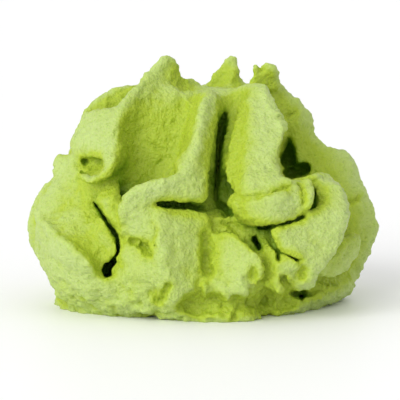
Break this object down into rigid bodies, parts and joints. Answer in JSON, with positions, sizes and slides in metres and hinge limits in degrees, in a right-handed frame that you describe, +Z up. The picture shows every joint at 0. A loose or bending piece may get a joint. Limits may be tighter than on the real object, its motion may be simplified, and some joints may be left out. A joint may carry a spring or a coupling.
{
  "type": "wasabi paste dollop",
  "caption": "Dollop of wasabi paste piped through a star nozzle: a ridged mound with torn tips, buckled lips and curled lobes on a flat base.",
  "frame": {"origin": "centre of the bounding box's underside, on the surface the dollop rests on", "axes": "+X to the right across the widest direction, +Y to the back, +Z up towards the torn tips; the front, with the deep gap and the lip, faces -Y"},
  "size_m": [0.032, 0.0278, 0.0225],
  "materials": {
    "wasabi_paste": null
  },
  "bodies": {
    "root": {"wasabi_paste": "wasabi_paste"}
  },
  "joints": []
}
